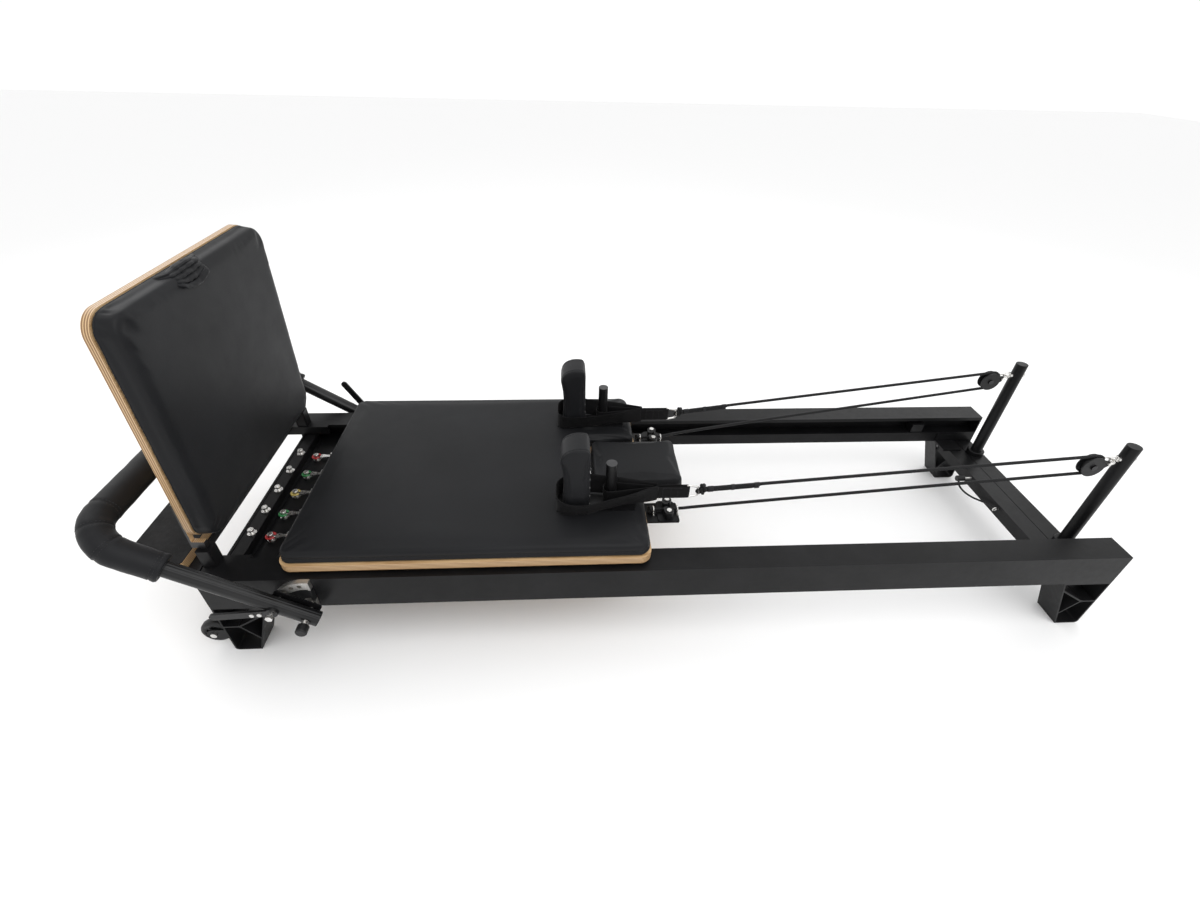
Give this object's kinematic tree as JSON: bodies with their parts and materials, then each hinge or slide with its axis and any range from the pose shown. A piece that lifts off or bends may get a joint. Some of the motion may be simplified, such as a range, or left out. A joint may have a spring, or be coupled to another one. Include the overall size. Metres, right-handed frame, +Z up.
{
  "type": "pilates reformer",
  "caption": "Long low exercise frame with a padded spring-loaded sliding carriage, rope pulleys on posts, padded footbar and upright jump board.",
  "frame": {"origin": "on the floor, under the middle of the whole footprint: halfway between the platform's outer edge and the head end of the rails, on the middle plane", "axes": "+X to the head end with the pulley posts, +Y to the far side, +Z up"},
  "size_m": [2.588, 0.924, 0.9463],
  "materials": {
    "frame_paint": "satin",
    "hardware_steel": "satin",
    "index_plate_alloy": "satin",
    "black_plastic": "matte",
    "birch_ply": "satin",
    "deck_grip": "matte",
    "black_leather": "matte",
    "webbing": "matte",
    "rope_braid": "matte",
    "spring_enamel": "gloss",
    "roller_tyre": "satin",
    "wheel_rubber": "matte"
  },
  "bodies": {
    "frame": {"rail_near": "frame_paint", "rail_far": "frame_paint", "feet_head_end": "frame_paint", "feet_foot_end": "frame_paint", "frame_bolts": "hardware_steel", "head_crossbar": "frame_paint", "risers": "frame_paint", "travel_stops": "black_plastic", "pulley_cheeks": "black_plastic", "pulley_hardware": "hardware_steel", "rope_near": "rope_braid", "rope_far": "rope_braid", "spring_park_bar": "frame_paint", "spring_hook_bar": "frame_paint", "hook_posts": "hardware_steel", "springs": "spring_enamel", "end_brackets": "frame_paint", "platform": "deck_grip", "quadrants": "index_plate_alloy", "pivot_knobs": "black_plastic", "lanyard": "rope_braid"},
    "carriage": {"carriage_board": "birch_ply", "carriage_pad": "black_leather", "undercarriage": "frame_paint", "headrest_hinge": "hardware_steel", "rest_base_near": "frame_paint", "rest_base_far": "frame_paint", "rest_pad_near": "black_leather", "rest_pad_far": "black_leather", "straps": "webbing", "d_rings": "hardware_steel", "cleat_plates": "frame_paint", "cleat_hardware": "hardware_steel"},
    "headrest": {"headrest_board": "birch_ply", "headrest_pad": "black_leather"},
    "headrest_prop": {"headrest_prop": "hardware_steel"},
    "footbar": {"footbar_tube": "frame_paint", "footbar_sleeve": "black_leather", "arm_plates": "frame_paint"},
    "jump_board": {"jump_board": "birch_ply", "jump_pad": "black_leather", "pull_strap": "black_leather"},
    "lock_pin": {"lock_pin": "black_plastic"},
    "roller_near_foot": {"roller_near_foot": "roller_tyre"},
    "roller_near_head": {"roller_near_head": "roller_tyre"},
    "roller_far_foot": {"roller_far_foot": "roller_tyre"},
    "roller_far_head": {"roller_far_head": "roller_tyre"},
    "lever_near": {"lever_near": "frame_paint"},
    "plunger_near": {"plunger_near": "hardware_steel"},
    "lever_far": {"lever_far": "frame_paint"},
    "plunger_far": {"plunger_far": "hardware_steel"},
    "sheave_near": {"sheave_near": "black_plastic"},
    "transport_wheel_near": {"transport_wheel_near": "wheel_rubber"},
    "cam_near_inner": {"cam_near_inner": "black_plastic"},
    "cam_near_outer": {"cam_near_outer": "black_plastic"},
    "sheave_far": {"sheave_far": "black_plastic"},
    "transport_wheel_far": {"transport_wheel_far": "wheel_rubber"},
    "cam_far_inner": {"cam_far_inner": "black_plastic"},
    "cam_far_outer": {"cam_far_outer": "black_plastic"}
  },
  "joints": [
    {"name": "carriage_slide", "type": "slide", "parent": "frame", "child": "carriage", "axis": [1, 0, 0], "range_m": [0, 0.8], "stiffness_N_per_m": 200, "deforming": ["springs", "rope_near", "rope_far"]},
    {"name": "roller_near_foot_spin", "type": "hinge", "parent": "carriage", "child": "roller_near_foot", "pos_m": [-0.846, -0.315, 0.2393], "axis": [0, 1, 0], "range_deg": [-10, 2100]},
    {"name": "roller_near_head_spin", "type": "hinge", "parent": "carriage", "child": "roller_near_head", "pos_m": [-0.056, -0.315, 0.2393], "axis": [0, 1, 0], "range_deg": [-10, 2100]},
    {"name": "roller_far_foot_spin", "type": "hinge", "parent": "carriage", "child": "roller_far_foot", "pos_m": [-0.846, 0.315, 0.2393], "axis": [0, 1, 0], "range_deg": [-10, 2100]},
    {"name": "roller_far_head_spin", "type": "hinge", "parent": "carriage", "child": "roller_far_head", "pos_m": [-0.056, 0.315, 0.2393], "axis": [0, 1, 0], "range_deg": [-10, 2100]},
    {"name": "headrest_tilt", "type": "hinge", "parent": "carriage", "child": "headrest", "pos_m": [-0.138, 0, 0.342], "axis": [0, -1, 0], "range_deg": [0, 35]},
    {"name": "headrest_prop_fold", "type": "hinge", "parent": "headrest", "child": "headrest_prop", "pos_m": [0.064, 0, 0.284], "axis": [0, -1, 0], "range_deg": [0, 90]},
    {"name": "footbar_tilt", "type": "hinge", "parent": "frame", "child": "footbar", "pos_m": [-0.847, 0, 0.191], "axis": [0, 1, 0], "range_deg": [0, 16]},
    {"name": "lever_near_turn", "type": "hinge", "parent": "footbar", "child": "lever_near", "pos_m": [-0.91089, -0.432, 0.23574], "axis": [0, -1, 0], "range_deg": [-66, 0]},
    {"name": "plunger_near_slide", "type": "slide", "parent": "footbar", "child": "plunger_near", "axis": [0, 1, 0], "range_m": [0, 0.008]},
    {"name": "lever_far_turn", "type": "hinge", "parent": "footbar", "child": "lever_far", "pos_m": [-0.91089, 0.432, 0.23574], "axis": [0, -1, 0], "range_deg": [0, 66]},
    {"name": "plunger_far_slide", "type": "slide", "parent": "footbar", "child": "plunger_far", "axis": [0, -1, 0], "range_m": [0, 0.008]},
    {"name": "jump_board_lift", "type": "slide", "parent": "frame", "child": "jump_board", "axis": [0.0523, 0, 0.9986], "range_m": [0, 0.12]},
    {"name": "sheave_near_spin", "type": "hinge", "parent": "frame", "child": "sheave_near", "pos_m": [1.177, -0.221, 0.478], "axis": [0, 1, 0], "continuous": true},
    {"name": "transport_wheel_near_spin", "type": "hinge", "parent": "frame", "child": "transport_wheel_near", "pos_m": [-1.144, -0.346, 0.06], "axis": [0, 1, 0], "continuous": true},
    {"name": "cam_near_inner_turn", "type": "hinge", "parent": "carriage", "child": "cam_near_inner", "pos_m": [0.076, -0.1485, 0.306], "axis": [0, 0, -1], "range_deg": [0, 35], "stiffness_Nm_per_rad": 0.2},
    {"name": "cam_near_outer_turn", "type": "hinge", "parent": "carriage", "child": "cam_near_outer", "pos_m": [0.076, -0.1935, 0.306], "axis": [0, 0, 1], "range_deg": [0, 35], "stiffness_Nm_per_rad": 0.2},
    {"name": "sheave_far_spin", "type": "hinge", "parent": "frame", "child": "sheave_far", "pos_m": [1.177, 0.221, 0.478], "axis": [0, 1, 0], "continuous": true},
    {"name": "transport_wheel_far_spin", "type": "hinge", "parent": "frame", "child": "transport_wheel_far", "pos_m": [-1.144, 0.346, 0.06], "axis": [0, 1, 0], "continuous": true},
    {"name": "cam_far_inner_turn", "type": "hinge", "parent": "carriage", "child": "cam_far_inner", "pos_m": [0.076, 0.1485, 0.306], "axis": [0, 0, 1], "range_deg": [0, 35], "stiffness_Nm_per_rad": 0.2},
    {"name": "cam_far_outer_turn", "type": "hinge", "parent": "carriage", "child": "cam_far_outer", "pos_m": [0.076, 0.1935, 0.306], "axis": [0, 0, -1], "range_deg": [0, 35], "stiffness_Nm_per_rad": 0.2},
    {"name": "lock_pin_pull", "type": "slide", "parent": "frame", "child": "lock_pin", "axis": [-1, 0, 0], "range_m": [0, 0.012], "deforming": ["lanyard"]}
  ],
  "couplings": [
    {"joint": "roller_near_foot_spin", "follows": "carriage_slide", "rad_per_m": 45.455},
    {"joint": "roller_near_head_spin", "follows": "carriage_slide", "rad_per_m": 45.455},
    {"joint": "roller_far_foot_spin", "follows": "carriage_slide", "rad_per_m": 45.455},
    {"joint": "roller_far_head_spin", "follows": "carriage_slide", "rad_per_m": 45.455},
    {"joint": "plunger_near_slide", "follows": "lever_near_turn", "m_per_rad": -0.006858},
    {"joint": "plunger_far_slide", "follows": "lever_far_turn", "m_per_rad": 0.006858}
  ]
}
